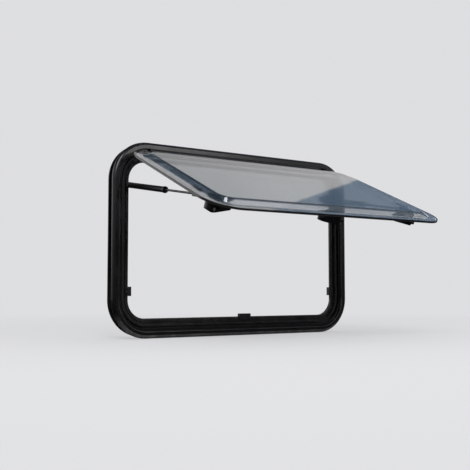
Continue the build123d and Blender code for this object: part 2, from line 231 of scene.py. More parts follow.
class MaterialBench(NodeBench):
    """A new material's tree, with its shader and the object's own coordinates."""

    def __init__(self, name: str) -> None:
        """Start a material.

        Args:
            name: The material's name.
        """
        self.material = bpy.data.materials.new(name)
        self.material.use_nodes = True
        super().__init__(self.material.node_tree)
        self.shader = self.tree.nodes["Principled BSDF"]
        self.place = self.add("ShaderNodeTexCoord").outputs["Object"]

    def set(self, name: str, value: Any) -> None:
        """Feed one of the shader's own sockets by its name."""
        self.feed(self.shader.inputs[name], value)

    def noise(self, scale: float, detail: float, place: Socket) -> Socket:
        """Add a noise of so many cycles per metre and so many octaves."""
        inputs = {"Vector": place, "Scale": scale, "Detail": detail}
        return self.add("ShaderNodeTexNoise", inputs).outputs["Fac"]

    def cells(self, scale: float) -> Socket:
        """Add so many cells per metre, and give the distance from each cell's middle."""
        return self.add("ShaderNodeTexVoronoi", {"Vector": self.place, "Scale": scale}).outputs["Distance"]

    def moved(self, tilt: float, stretch: Triple = (1, 1, 1), shift: Triple = (0, 0, 0)) -> Socket:
        """Coordinates that are scaled, tilted and shifted.

        Args:
            tilt: The turn about the x axis in degrees.
            stretch: The scale along x, y and z.
            shift: The shift in metres.

        Returns:
            The new coordinates.
        """
        turn = (math.radians(tilt), 0, 0)
        inputs = {"Vector": self.place, "Location": shift, "Rotation": turn, "Scale": stretch}
        return self.add("ShaderNodeMapping", inputs).outputs["Vector"]

    def bump(self, height: Socket, strength: float, depth: float) -> None:
        """Raise the surface by a pattern, to a depth in metres."""
        inputs = {"Strength": strength, "Distance": depth, "Height": height}
        self.set("Normal", self.add("ShaderNodeBump", inputs).outputs["Normal"])

    def inset(self, across: Socket, up: Socket, half_width: float, half_height: float,
              radius: float) -> Socket:
        """How far a place lies inside a rounded outline that is centred on the axes.

        Args:
            across: The place's value along the width.
            up: The place's value along the height.
            half_width: Half the outline's width.
            half_height: Half the outline's height.
            radius: The outline's corner radius.

        Returns:
            The inset from the outline, in metres.
        """
        beyond = []
        for value, half in ((across, half_width), (up, half_height)):
            beyond.append(self.math("SUBTRACT", self.math("ABSOLUTE", value), half - radius))
        outside = [self.math("POWER", self.math("MAXIMUM", value, 0.0), 2.0) for value in beyond]
        corner = self.math("SQRT", self.math("ADD", *outside))
        straight = self.math("MINIMUM", self.math("MAXIMUM", *beyond), 0.0)
        return self.math("SUBTRACT", radius, self.math("ADD", corner, straight))


@dataclass(frozen=True)
class Pattern:
    """A noise over a surface, stretched where the surface has lines, and the range it is brought to."""

    scale: float
    detail: float
    limits: Limits = (0.0, 1.0, 0.0, 1.0)
    stretch: Triple | None = None

    def raw(self, bench: MaterialBench, tilt: float = 0.0) -> Socket:
        """Add the noise, its lines tilted about x by degrees."""
        place = bench.moved(tilt, self.stretch) if self.stretch else bench.place
        return bench.noise(self.scale, self.detail, place)

    def ranged(self, bench: MaterialBench, tilt: float = 0.0) -> Socket:
        """Add the noise and bring it to its range."""
        return bench.remap(self.raw(bench, tilt), *self.limits)


@dataclass(frozen=True)
class Cells(Pattern):
    """A cell pattern over a surface."""

    detail: float = 0.0

    def raw(self, bench: MaterialBench, tilt: float = 0.0) -> Socket:
        """Add the cells, which have no lines to tilt."""
        return bench.cells(self.scale)


@dataclass(frozen=True)
class Finish:
    """A surface of two colours that a pattern mixes, with an uneven roughness and a fine relief."""

    name: str
    colour: Colour
    second: Colour
    mixing: Pattern
    rough: Pattern
    relief: Pattern | None = None
    strength: float = 0.0
    depth: float = 0.0
    tilt: float = 0.0
    plain: Levels = ()

    def material(self) -> bpy.types.Material:
        """Build the finish.

        Returns:
            The new material.
        """
        bench = MaterialBench(self.name)
        share = self.mixing.ranged(bench, self.tilt)
        self.coat(bench, bench.blend(share, self.colour, self.second))
        bench.set("Roughness", self.rough.ranged(bench, self.tilt))
        for socket, value in self.plain:
            bench.set(socket, value)
        if self.relief:
            bench.bump(self.relief.raw(bench, self.tilt), self.strength, self.depth)
        return bench.material

    def coat(self, bench: MaterialBench, colour: Socket) -> None:
        """Give the surface its mixed colour, to which a finish may add its own marks."""
        bench.set("Base Color", colour)


@dataclass(frozen=True)
class Moulding(Finish):
    """Black moulded plastic with an eroded grain and a faint bloom."""

    colour: Colour = (0.0014, 0.0015, 0.0016)
    second: Colour = (0.003, 0.003, 0.003)
    mixing: Pattern = Pattern(14.0, 4.0, (0.45, 0.75, 0.0, 0.6))
    rough: Pattern = Pattern(30.0, 2.0, (0.3, 0.7, 0.22, 0.27))
    relief: Pattern = Cells(2600.0)
    strength: float = 0.015
    depth: float = 0.06 * MM


@dataclass(frozen=True)
class FittingMoulding(Moulding):
    """The fittings' moulding, duller and with a coarser grain."""

    rough: Pattern = Pattern(30.0, 2.0, (0.3, 0.7, 0.34, 0.39))
    relief: Pattern = Cells(1900.0)
    strength: float = 0.1


@dataclass(frozen=True)
class LatchMoulding(Moulding):
    """The latches' moulding, with the coarsest grain."""

    rough: Pattern = Pattern(30.0, 2.0, (0.3, 0.7, 0.38, 0.43))
    relief: Pattern = Cells(1500.0)
    strength: float = 0.12


@dataclass(frozen=True)
class FrameMoulding(Moulding):
    """The frame's moulding, painted with highlights on its flange's edges, and dusty in its recess."""

    half_width: float = 397.0 * MM
    half_height: float = 254.5 * MM
    corner: float = 100.0 * MM
    edge: float = 18.0 * MM
    # Painted highlight along the flange's inner edge, stronger towards the top and bottom
    rubbed: Colour = (0.07, 0.07, 0.072)
    # Painted reflection of light on the flange's lower rounding, low down and at the front
    scuffed: Colour = (0.13, 0.13, 0.13)
    dust: Colour = (0.035, 0.0335, 0.031)
    patchy: Pattern = Pattern(45.0, 3.0, (0.4, 0.65, 0.5, 0.9))
    dusty: Pattern = Pattern(40.0, 2.0, (0.35, 0.75, 0.1, 0.6))
    off_edge: Limits = (0.0, 2.0 * MM, 1.0, 0.0)
    face: Limits = (-9.5 * MM, -8.5 * MM, 1.0, 0.0)
    # How the painted edge highlight grows towards the top and bottom
    worn: Limits = (100.0 * MM, 225.0 * MM, 0.35, 1.0)
    foot: Limits = (7.5 * MM, 9.5 * MM, 1.0, 0.0)
    below: Limits = (-190.0 * MM, -230.0 * MM, 0.0, 1.0)
    ahead: Limits = (-1.0 * MM, 0.0, 0.75, 0.0)
    sunk: Limits = (-4.0 * MM, 2.0 * MM, 0.0, 1.0)
    low: Limits = (0.0, -200.0 * MM, 0.0, 1.0)

    def coat(self, bench: MaterialBench, colour: Socket) -> None:
        """Paint highlights on the flange's inner edge and its lower rounding, and lay dust on the recess's
        floor.

        Args:
            bench: The material in the making.
            colour: The mixed colour.
        """
        across, depth, up = bench.axes(bench.place)
        inset = bench.inset(across, up, self.half_width, self.half_height, self.corner)
        off_edge = bench.math("ABSOLUTE", bench.math("SUBTRACT", inset, self.edge))
        patchy = self.patchy.ranged(bench)
        edge = bench.product(bench.remap(off_edge, *self.off_edge), bench.remap(depth, *self.face))
        worn = bench.remap(bench.math("ABSOLUTE", up), *self.worn)
        foot = bench.product(bench.remap(inset, *self.foot), bench.remap(up, *self.below))
        ahead = bench.remap(depth, *self.ahead)
        floor = bench.product(bench.remap(depth, *self.sunk), self.dusty.ranged(bench))
        low = bench.remap(up, *self.low)
        # Painted highlight on the flange's inner edge, painted reflection on its lower rounding, then dust
        # on the recess's floor
        colour = bench.blend(bench.product(edge, worn, patchy), colour, self.rubbed)
        colour = bench.blend(bench.product(foot, ahead, patchy), colour, self.scuffed)
        super().coat(bench, bench.blend(bench.product(floor, low), colour, self.dust))


@dataclass(frozen=True)
class Rubber(Finish):
    """Matt black rubber with a fine grain and a chalky bloom."""

    colour: Colour = (0.006, 0.006, 0.0063)
    second: Colour = (0.018, 0.018, 0.018)
    mixing: Pattern = Pattern(40.0, 5.0, (0.45, 0.8, 0.0, 0.8))
    rough: Pattern = Pattern(200.0, 3.0, (0.3, 0.7, 0.62, 0.78))
    relief: Pattern = Pattern(1400.0, 2.0)
    strength: float = 0.3
    depth: float = 0.08 * MM
    plain: Levels = (("Specular IOR Level", 0.3),)


@dataclass(frozen=True)
class Bond(Finish):
    """Milky grey sealing strip between the panes, a little cloudy."""

    colour: Colour = (0.86, 0.86, 0.86)
    second: Colour = (0.76, 0.76, 0.765)
    mixing: Pattern = Pattern(25.0, 4.0, (0.35, 0.7, 0.0, 1.0))
    rough: Pattern = Pattern(120.0, 3.0, (0.3, 0.7, 0.32, 0.45))
    plain: Levels = (("Transmission Weight", 0.3), ("IOR", 1.45))


@dataclass(frozen=True)
class Acrylic(Finish):
    """Tinted clear acrylic with faint smears and a slight waviness."""

    mixing: Pattern = Pattern(3.0, 2.0, (0.35, 0.65, 0.0, 1.0))
    rough: Pattern = Pattern(9.0, 5.0, (0.45, 0.75, 0.008, 0.03), (0.6, 3.0, 3.0))
    relief: Pattern = Pattern(6.0, 1.0)
    strength: float = 0.04
    depth: float = 2.0 * MM
    plain: Levels = (("IOR", 1.49), ("Transmission Weight", 1.0))


@dataclass(frozen=True)
class EdgedAcrylic(Acrylic):
    """Tinted acrylic with painted light on its rim and painted shade on its bevel and its cut edge."""

    plain: Levels = (("IOR", 1.49),)
    flap: FlapPlane = FlapPlane()
    # Painted light: the rim is paler than the pane's own tint
    rim_tint: Colour = (0.95, 0.96, 0.97)
    # Painted shade: a dark blue band on the bevel's crown, deeper on the sides and fading out towards the
    # top
    bevel_tint: Colour = (0.15, 0.19, 0.235)
    # Painted shade: the pane's cut edge is black where it looks dark edge-on
    lacquer: Colour = (0.003, 0.003, 0.0034)
    bevel_start: Limits = (300.0 * MM, 322.0 * MM, 40.0 * MM, 26.5 * MM)
    rising: Limits = (0.0, 3.0 * MM, 0.0, 1.0)
    falling: Limits = (48.0 * MM, 50.0 * MM, 1.0, 0.0)
    fading: Limits = (30.0 * MM, 175.0 * MM, 1.0, 0.0)
    clearing: Limits = (4.0 * MM, 4.1 * MM, 0.0, 1.0)

    def coat(self, bench: MaterialBench, colour: Socket) -> None:
        """Paint light on the rim and shade on the bevel and the edge, all found from the shut flap's
        outline.

        Args:
            bench: The material in the making.
            colour: The mixed tint.
        """
        flap = self.flap
        shut = Matrix.Rotation(math.radians(flap.open_angle), 3, "X")
        hinge = Vector(flap.hinge)
        middle = Vector((0, 0, (flap.high_edge + flap.low_edge) / 2))
        shift = (hinge - shut @ hinge - middle) * MM
        across, _, up = bench.axes(bench.moved(flap.open_angle, shift=tuple(shift)))
        half_height = (flap.high_edge - flap.low_edge) / 2
        inset = bench.inset(across, up, flap.half_width * MM, half_height * MM, flap.corner * MM)
        start = bench.remap(bench.math("ABSOLUTE", across), *self.bevel_start)
        rising = bench.remap(bench.math("SUBTRACT", inset, start), *self.rising)
        share = bench.product(rising, bench.remap(inset, *self.falling), bench.remap(up, *self.fading))
        # Painted light on the rim and painted shade on the bevel's crown, then black painted shade on the
        # cut edge
        rim_lit = bench.blend(rising, self.rim_tint, colour)
        shaded = bench.blend(share, rim_lit, self.bevel_tint)
        clear = bench.remap(inset, *self.clearing)
        super().coat(bench, bench.blend(clear, self.lacquer, shaded))
        bench.set("Transmission Weight", clear)


@dataclass(frozen=True)
class Strip(Finish):
    """Satin black extruded strip with lines along its length."""

    colour: Colour = (0.011, 0.011, 0.012)
    second: Colour = (0.025, 0.025, 0.026)
    mixing: Pattern = Pattern(900.0, 2.0, (0.4, 0.7, 0.0, 0.7), EXTRUDED)
    rough: Pattern = Pattern(900.0, 2.0, (0.3, 0.7, 0.34, 0.46), EXTRUDED)
    relief: Pattern = Pattern(900.0, 2.0, stretch=EXTRUDED)
    strength: float = 0.2
    depth: float = 0.05 * MM
    plain: Levels = (("Specular IOR Level", 0.4),)


@dataclass(frozen=True)
class PaintedTube(Finish):
    """Semi-gloss black paint with a slight peel and scuffs along the tube."""

    colour: Colour = (0.006, 0.006, 0.0064)
    second: Colour = (0.022, 0.022, 0.023)
    mixing: Pattern = Pattern(700.0, 4.0, (0.6, 0.78, 0.0, 0.5), (1.0, 0.04, 1.0))
    rough: Pattern = Pattern(80.0, 3.0, (0.3, 0.7, 0.36, 0.46))
    relief: Pattern = Pattern(900.0, 2.0)
    strength: float = 0.12
    depth: float = 0.06 * MM
    tilt: float = STAY_TILT
    plain: Levels = (("Specular IOR Level", 0.12),)


@dataclass(frozen=True)
class DrawnSteel(Finish):
    """Steel with drawing lines along one direction and small dark specks, darkened as painted reflection."""

    # Painted reflection: the rod's steel is darkened to stand in for the dark surroundings that it mirrors
    colour: Colour = (0.09, 0.091, 0.094)
    second: Colour = (0.045, 0.045, 0.046)
    mixing: Pattern = Pattern(2400.0, 3.0, (0.35, 0.7, 0.0, 0.6), DRAWN)
    rough: Pattern = Pattern(2400.0, 3.0, (0.3, 0.7, 0.28, 0.46), DRAWN)
    relief: Pattern = Pattern(2400.0, 3.0, stretch=DRAWN)
    strength: float = 0.15
    depth: float = 0.04 * MM
    tilt: float = STAY_TILT
    plain: Levels = (("Metallic", 1.0),)
    specks: Pattern = Pattern(1300.0, 2.0, (0.68, 0.78, 0.0, 0.6))

    def coat(self, bench: MaterialBench, colour: Socket) -> None:
        """Speck the surface with its dark colour."""
        super().coat(bench, bench.blend(self.specks.ranged(bench), colour, self.second))


@dataclass(frozen=True)
class ScrewSteel(DrawnSteel):
    """Bright steel of the clamp ring's screws and the pins' caps."""

    colour: Colour = (0.42, 0.42, 0.43)
    second: Colour = (0.2, 0.2, 0.205)
    rough: Pattern = Pattern(2400.0, 3.0, (0.3, 0.7, 0.22, 0.4), DRAWN)
    tilt: float = 0.0


@dataclass(frozen=True)
class DarkScrewSteel(ScrewSteel):
    """Blackened steel of the fittings' screws."""

    colour: Colour = (0.03, 0.03, 0.031)
    second: Colour = (0.015, 0.015, 0.016)
    rough: Pattern = Pattern(2400.0, 3.0, (0.3, 0.7, 0.3, 0.48), DRAWN)


class Finishes:
    """Every material of the window, made once."""

    def __init__(self) -> None:
        """Build each finish."""
        outer = EdgedAcrylic("outer_acrylic", (0.62, 0.66, 0.685), (0.58, 0.62, 0.645))
        inner = Acrylic("inner_acrylic", (0.72, 0.73, 0.735), (0.68, 0.69, 0.695))
        self.by_slot: dict[Slot, bpy.types.Material] = {
            Slot.FRAME: FrameMoulding("frame_moulding").material(),
            Slot.RUBBER: Rubber("seal_rubber").material(),
            Slot.BOND: Bond("pane_bond").material(),
            Slot.OUTER_ACRYLIC: outer.material(),
            Slot.INNER_ACRYLIC: inner.material(),
            Slot.STRIP: Strip("hinge_strip").material(),
            Slot.FITTING: FittingMoulding("fitting_moulding").material(),
            Slot.LATCH: LatchMoulding("latch_moulding").material(),
            Slot.TUBE: PaintedTube("stay_paint").material(),
            Slot.ROD: DrawnSteel("rod_steel").material(),
        }
        self.screw = ScrewSteel("screw_steel").material()
        self.dark_screw = DarkScrewSteel("screw_black").material()

    def dress(self, nodes: dict[str, bpy.types.Object], record: dict[str, Any]) -> None:
        """Give every CAD node the finish of its slot.

        Args:
            nodes: The CAD nodes by name.
            record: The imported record.
        """
        for part in record["subparts"]:
            material = self.by_slot[Slot(part["material_slot"])]
            node = nodes[part["node"]]
            if not node.material_slots:
                node.data.materials.append(material)
            for held in node.material_slots:
                held.material = material


class Shapes:
    """Small closed meshes that the sub-assemblies set in place."""

    WELD = 1e-7
    SLIVER = 1e-8
    ROUND_BEVEL = 0.5
    SCREW_STEPS = 24
    SCREW_RINGS: Profile = ((0.55, -0.25), (1.0, -0.25), (1.0, 0.35), (0.93, 0.68), (0.78, 0.9), (0.62, 1.0))
    RECESS_ARM = 0.48
    RECESS_HALF = 0.13
    RECESS_TAPER = 0.7
    RECESS_FLOOR = 0.35

    @staticmethod
    def finished(work: bmesh.types.BMesh) -> bpy.types.Mesh:
        """Close a mesh in the making.

        Args:
            work: The mesh in the making, which is freed.

        Returns:
            The mesh, with its faces pointing outwards.
        """
        bmesh.ops.remove_doubles(work, verts=work.verts, dist=Shapes.WELD)
        bmesh.ops.recalc_face_normals(work, faces=work.faces)
        mesh = bpy.data.meshes.new("made")
        work.to_mesh(mesh)
        work.free()
        return mesh

    @staticmethod
    def merged(shapes: list[tuple[bmesh.types.BMesh, Matrix]]) -> bpy.types.Mesh:
        """Join shapes at their places into one mesh.

        Args:
            shapes: Each shape in the making, which is freed, with its place.

        Returns:
            The joined mesh.
        """
        whole = bmesh.new()
        for shape, place in shapes:
            bmesh.ops.transform(shape, matrix=place, verts=shape.verts)
            bmesh.ops.recalc_face_normals(shape, faces=shape.faces)
            mesh = bpy.data.meshes.new("part")
            shape.to_mesh(mesh)
            shape.free()
            whole.from_mesh(mesh)
            bpy.data.meshes.remove(mesh)
        return Shapes.finished(whole)

    @staticmethod
    def lathe(profile: Profile, segments: int) -> bmesh.types.BMesh:
        """Turn an open or closed profile about the z axis.

        Args:
            profile: The radius and height of each point, in millimetres.
            segments: How many steps the turn has.

        Returns:
            The turned shape in the making, in metres.
        """
        work = bmesh.new()
        rows = []
        for step in range(segments):
            turn = 2 * math.pi * step / segments
            x = math.cos(turn) * MM
            y = math.sin(turn) * MM
            rows.append([work.verts.new((out * x, out * y, up * MM)) for out, up in profile])
        for row, after in zip(rows, rows[1:] + rows[:1]):
            for index in range(len(profile) - 1):
                work.faces.new((row[index], after[index], after[index + 1], row[index + 1]))
        bmesh.ops.remove_doubles(work, verts=work.verts, dist=Shapes.WELD)
        bmesh.ops.dissolve_degenerate(work, edges=work.edges, dist=Shapes.SLIVER)
        return work

    @staticmethod
    def block(size: Triple, rounding: float, segments: int = 3) -> bmesh.types.BMesh:
        """A block with rounded edges, standing on the xy plane.

        Args:
            size: Its length, width and height in millimetres.
            rounding: The edges' rounding in millimetres.
            segments: The rounding's steps.

        Returns:
            The block in the making, in metres.
        """
        work = bmesh.new()
        bmesh.ops.create_cube(work, size=1.0)
        bmesh.ops.translate(work, verts=work.verts, vec=(0, 0, 0.5))
        bmesh.ops.scale(work, verts=work.verts, vec=[side * MM for side in size])
        bmesh.ops.bevel(work, geom=work.edges[:], offset=rounding * MM, segments=segments,
                        profile=Shapes.ROUND_BEVEL, affect="EDGES")
        return work

    @staticmethod
    def screw(radius: float, height: float) -> bmesh.types.BMesh:
        """A pan-head screw with a cross recess, its seat on the xy plane.

        Args:
            radius: The head's radius in millimetres.
            height: The head's height in millimetres.

        Returns:
            The head in the making, in metres.
        """
        profile = tuple((out * radius, up * height) for out, up in Shapes.SCREW_RINGS)
        work = Shapes.lathe(profile, Shapes.SCREW_STEPS)
        loose = [edge for edge in work.edges if edge.is_boundary]
        rim = [edge for edge in loose if all(vert.co.z > 0.0 for vert in edge.verts)]
        bmesh.ops.contextual_create(work, geom=[edge for edge in loose if edge not in rim])
        top = height * MM
        floor = top * Shapes.RECESS_FLOOR
        taper = Shapes.RECESS_TAPER
        arm = Shapes.RECESS_ARM * radius * MM
        half = Shapes.RECESS_HALF * radius * MM
        corners = [(arm, -half), (arm, half), (half, half), (half, arm), (-half, arm), (-half, half)]
        corners += [(-x, -y) for x, y in corners]
        upper = [work.verts.new((x, y, top)) for x, y in corners]
        lower = [work.verts.new((x * taper, y * taper, floor)) for x, y in corners]
        count = len(corners)
        slot = [work.edges.new((upper[i], upper[(i + 1) % count])) for i in range(count)]
        for i in range(count):
            j = (i + 1) % count
            work.faces.new((upper[i], upper[j], lower[j], lower[i]))
        work.faces.new(lower)
        bmesh.ops.triangle_fill(work, use_beauty=True, edges=rim + slot)
        return work


class Repeat(NodeBench):
    """Geometry node tree that sets one template at points that it makes or is given."""

    def __init__(self, name: str, *sizes: str) -> None:
        """Start a tree.

        Args:
            name: The tree's name.
            sizes: The names of the sizes that it is given, of which Count is a whole number.
        """
        super().__init__(bpy.data.node_groups.new(name, "GeometryNodeTree"))
        sockets = {"Geometry": "Geometry", "Template": "Object", "Finish": "Material"}
        sockets.update({size: "Int" if size == "Count" else "Float" for size in sizes})
        self.face = self.tree.interface
        self.face.new_socket("Geometry", in_out="OUTPUT", socket_type="NodeSocketGeometry")
        for socket, kind in sockets.items():
            self.face.new_socket(socket, in_out="INPUT", socket_type="NodeSocket" + kind)
        self.given = self.add("NodeGroupInput").outputs

    def close(self, points: Socket, turn: Socket) -> None:
        """Set the template on the points, and end the tree.

        Args:
            points: The geometry whose points carry the template.
            turn: Each point's rotation.
        """
        template = self.add("GeometryNodeObjectInfo", {"Object": self.given["Template"]})
        placing = {"Points": points, "Instance": template.outputs["Geometry"], "Rotation": turn}
        setter = self.add("GeometryNodeInstanceOnPoints", placing)
        real = self.add("GeometryNodeRealizeInstances", {"Geometry": setter.outputs["Instances"]})
        dressing = {"Geometry": real.outputs["Geometry"], "Material": self.given["Finish"]}
        dress = self.add("GeometryNodeSetMaterial", dressing)
        self.add("NodeGroupOutput", {"Geometry": dress.outputs["Geometry"]})

    def run(self, template: bmesh.types.BMesh, finish: bpy.types.Material,
            mesh: bpy.types.Mesh | None = None, **sizes: Any) -> bpy.types.Mesh:
        """Evaluate the tree once.

        Args:
            template: The shape that is repeated, which is freed.
            finish: The material of the result.
            mesh: The mesh that the tree starts from, an empty one by default.
            sizes: The tree's named sizes, in small letters.

        Returns:
            The result as a plain mesh.
        """
        shape = bpy.data.objects.new("template", Shapes.finished(template))
        holder = bpy.data.objects.new("holder", mesh or bpy.data.meshes.new("start"))
        bpy.context.scene.collection.objects.link(holder)
        modifier = holder.modifiers.new("repeat", "NODES")
        modifier.node_group = self.tree
        values = {"Template": shape, "Finish": finish}
        values.update({name.title(): value for name, value in sizes.items()})
        for item in self.face.items_tree:
            if item.in_out == "INPUT" and item.name in values:
                modifier[item.identifier] = values[item.name]
        graph = bpy.context.evaluated_depsgraph_get()
        made = bpy.data.meshes.new_from_object(holder.evaluated_get(graph))
        holder.modifiers.clear()
        bpy.data.objects.remove(holder)
        bpy.data.objects.remove(shape)
        return made


class OutlineRepeat(Repeat):
    """Sets a template round a rounded outline, at even steps."""

    CORNER_POINTS = 16
    UPRIGHT: Triple = (math.radians(-90), 0, 0)

    def __init__(self) -> None:
        """Build the tree: a rounded rectangle, its points and the templates on them."""
        super().__init__("outline_repeat", "Width", "Height", "Corner", "Depth", "Count")
        sides = {"Width": self.given["Width"], "Height": self.given["Height"]}
        box = self.add("GeometryNodeCurvePrimitiveQuadrilateral", sides).outputs["Curve"]
        rounding = {"Curve": box, "Radius": self.given["Corner"], "Count": self.CORNER_POINTS}
        rounded = self.add("GeometryNodeFilletCurve", rounding, mode="POLY").outputs["Curve"]
        even = self.add("GeometryNodeResampleCurve", {"Curve": rounded, "Count": self.given["Count"]})
        lift = self.add("ShaderNodeCombineXYZ", {"Y": self.given["Depth"]}).outputs["Vector"]
        standing = {"Geometry": even.outputs["Curve"], "Translation": lift, "Rotation": self.UPRIGHT}
        stand = self.add("GeometryNodeTransform", standing)
        turn = self.add("FunctionNodeEulerToRotation", {"Euler": self.UPRIGHT})
        self.close(stand.outputs["Geometry"], turn.outputs["Rotation"])


class SpotRepeat(Repeat):
    """Sets a template on every vertex, turned as the vertex's own attribute says."""

    TURN = "turn"

    def __init__(self) -> None:
        """Build the tree: the vertices as points and the templates on them."""
        super().__init__("spot_repeat")
        points = self.add("GeometryNodeMeshToPoints", {"Mesh": self.given["Geometry"]})
        named = self.add("GeometryNodeInputNamedAttribute", {"Name": self.TURN}, data_type="FLOAT_VECTOR")
        turn = self.add("FunctionNodeEulerToRotation", {"Euler": named.outputs["Attribute"]})
        self.close(points.outputs["Points"], turn.outputs["Rotation"])

    @classmethod
    def spots(cls, places: list[Matrix]) -> bpy.types.Mesh:
        """A mesh of loose vertices with their turns.

        Args:
            places: Where each template goes.

        Returns:
            The mesh that the tree starts from.
        """
        mesh = bpy.data.meshes.new("spots")
        mesh.from_pydata([place.translation for place in places], [], [])
        turns = mesh.attributes.new(cls.TURN, "FLOAT_VECTOR", "POINT")
        for entry, place in zip(turns.data, places):
            entry.vector = place.to_euler()
        return mesh


class RowRepeat(Repeat):
    """Sets a template along a straight row."""

    def __init__(self) -> None:
        """Build the tree: a line of points and the templates on it."""
        super().__init__("row_repeat", "Step", "Count")
        offset = self.add("ShaderNodeCombineXYZ", {"X": self.given["Step"]}).outputs["Vector"]
        spacing = {"Count": self.given["Count"], "Offset": offset}
        line = self.add("GeometryNodeMeshLine", spacing, mode="OFFSET")
        turn = self.add("FunctionNodeEulerToRotation")
        self.close(line.outputs["Mesh"], turn.outputs["Rotation"])


class RingRepeat(Repeat):
    """Sets a template round a circle about the x axis, each one facing outwards."""

    ABOUT_X: Triple = (0, math.radians(90), 0)

    def __init__(self) -> None:
        """Build the tree: a circle of points, their turns and the templates on them."""
        super().__init__("ring_repeat", "Radius", "Count")
        sizes = {"Vertices": self.given["Count"], "Radius": self.given["Radius"]}
        circle = self.add("GeometryNodeMeshCircle", sizes)
        standing = {"Geometry": circle.outputs["Mesh"], "Rotation": self.ABOUT_X}
        stand = self.add("GeometryNodeTransform", standing)
        place = self.add("GeometryNodeInputPosition").outputs["Position"]
        face = self.add("FunctionNodeAlignRotationToVector", {"Vector": place}, axis="Z")
        self.close(stand.outputs["Geometry"], face.outputs["Rotation"])


@dataclass
class Workshop:
    """Turns meshes into pieces that ride on a body, and logs them."""

    finishes: Finishes
    screws: SpotRepeat = field(default_factory=SpotRepeat)
    rows: RowRepeat = field(default_factory=RowRepeat)
    rings: RingRepeat = field(default_factory=RingRepeat)
    outline: OutlineRepeat = field(default_factory=OutlineRepeat)
    sharp: float = 35.0

    def piece(self, name: str, mesh: bpy.types.Mesh, body: str, slot: Slot,
              finish: bpy.types.Material | None = None) -> bpy.types.Object:
        """Make a piece of the window.

        Args:
            name: The piece's name.
            mesh: Its mesh, in place.
            body: The body that it rides on.
            slot: The record's slot that its finish belongs to.
            finish: Its material, the slot's own by default.

        Returns:
            The new object.
        """
        mesh.name = name
        mesh.materials.clear()
        mesh.materials.append(finish or self.finishes.by_slot[slot])
        mesh.shade_smooth()
        mesh.set_sharp_from_angle(angle=math.radians(self.sharp))
        made = bpy.data.objects.new(name, mesh)
        bpy.context.scene.collection.objects.link(made)
        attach(made, body)
        LOG.info("piece %s on %s, %d faces", name, body, len(mesh.polygons))
        return made

    def screw_set(self, name: str, places: list[Matrix], radius: float, height: float, body: str) -> None:
        """Make a set of dark screws.

        Args:
            name: The piece's name.
            places: Each screw's place, its z axis along the screw's head.
            radius: The head's radius in millimetres.
            height: The head's height in millimetres.
            body: The body that they ride on.
        """
        finish = self.finishes.dark_screw
        made = self.screws.run(Shapes.screw(radius, height), finish, SpotRepeat.spots(places))
        self.piece(name, made, body, Slot.FITTING, finish)


def facing(place: Vector, out: Vector, along: Vector) -> Matrix:
    """A place whose z axis points out of a surface and whose x axis lies along it.

    Args:
        place: The place's origin in metres.
        out: The direction out of the surface.
        along: The direction of the x axis, square to the first.

    Returns:
        The place as a matrix.
    """
    up = out.normalized()
    across = along.normalized()
    side = up.cross(across)
    turn = Matrix((across, side, up)).transposed().to_4x4()
    turn.translation = place
    return turn


@dataclass
class ClampFrame:
    """The fixed frame: screws of the clamp ring, catches and brackets, and the hinge's end caps."""

    shop: Workshop
    width: float = 794.0
    height: float = 509.0
    corner: float = 100.0
    ring_inset: float = 15.0
    ring_back: float = 32.0
    ring_screws: int = 22
    screw_radius: float = 3.4
    screw_height: float = 1.9
    small_screw_radius: float = 2.2
    small_screw_height: float = 1.0
    lip_inset: float = 47.5
    catch_screw_span: float = 0.5
    bracket_inset: float = 51.5
    bracket_screw_span: float = 10.5
    bracket_screw_depth: float = 18.5
    cap_length: float = 2.5
    cap_rounding: float = 0.8

    def build(self) -> None:
        """Make the frame's small pieces."""
        self.clamp_screws()
        self.catch_screws()
        self.bracket_screws()
        self.hinge_caps()

    def clamp_screws(self) -> None:
        """Screws round the clamp ring on the inside."""
        inset = 2 * self.ring_inset
        finish = self.shop.finishes.screw
        made = self.shop.outline.run(
            Shapes.screw(self.screw_radius, self.screw_height), finish,
            width=(self.width - inset) * MM, height=(self.height - inset) * MM,
            corner=(self.corner - self.ring_inset) * MM, depth=self.ring_back * MM, count=self.ring_screws)
        self.shop.piece("clamp_ring_screws", made, Body.FRAME.named(), Slot.ROD, finish)

    def catch_screws(self) -> None:
        """Two small screws in the plate of each catch."""
        places = []
        side = (self.width / 2 - self.lip_inset) * MM
        sill = (self.lip_inset - self.height / 2) * MM
        for node in ("catch_left", "catch_right", "catch_bottom"):
            low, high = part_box(node)
            middle = (low + high) / 2
            reach = (high - low) / 2 * self.catch_screw_span
            for end in (-1, 1):
                if node == "catch_bottom":
                    spot = Vector((middle.x + end * reach.x, low.y, sill))
                else:
                    spot = Vector((math.copysign(side, middle.x), low.y, middle.z + end * reach.z))
                places.append(facing(spot, Vector((0, -1, 0)), ACROSS))
        self.shop.screw_set("catch_screws", places, self.small_screw_radius, self.small_screw_height,
                            Body.FRAME.named())

    def bracket_screws(self) -> None:
        """Two screws in each stay bracket, facing into the opening."""
        places = []
        for side in Side:
            low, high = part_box("stay_frame_bracket_" + side.word)
            middle = (low.z + high.z) / 2
            face = side.value * (self.width / 2 - self.bracket_inset) * MM
            for end in (-self.bracket_screw_span, self.bracket_screw_span):
                spot = Vector((face, self.bracket_screw_depth * MM, middle + end * MM))
                places.append(facing(spot, ACROSS * -side.value, Vector((0, 1, 0))))
        self.shop.screw_set("stay_bracket_screws", places, self.screw_radius, self.small_screw_height,
                            Body.FRAME.named())

    def hinge_caps(self) -> None:
        """Caps that close the hinge rail's two ends."""
        low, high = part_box("hinge_rail")
        size = (self.cap_length, (high.y - low.y) / MM, (high.z - low.z) / MM)
        middle = (low + high) / 2
        shapes = []
        for side in Side:
            place = (side.value * (high.x + self.cap_length * MM / 2), middle.y, low.z)
            shapes.append((Shapes.block(size, self.cap_rounding), Matrix.Translation(place)))
        self.shop.piece("hinge_end_caps", Shapes.merged(shapes), Body.FRAME.named(), Slot.FITTING)


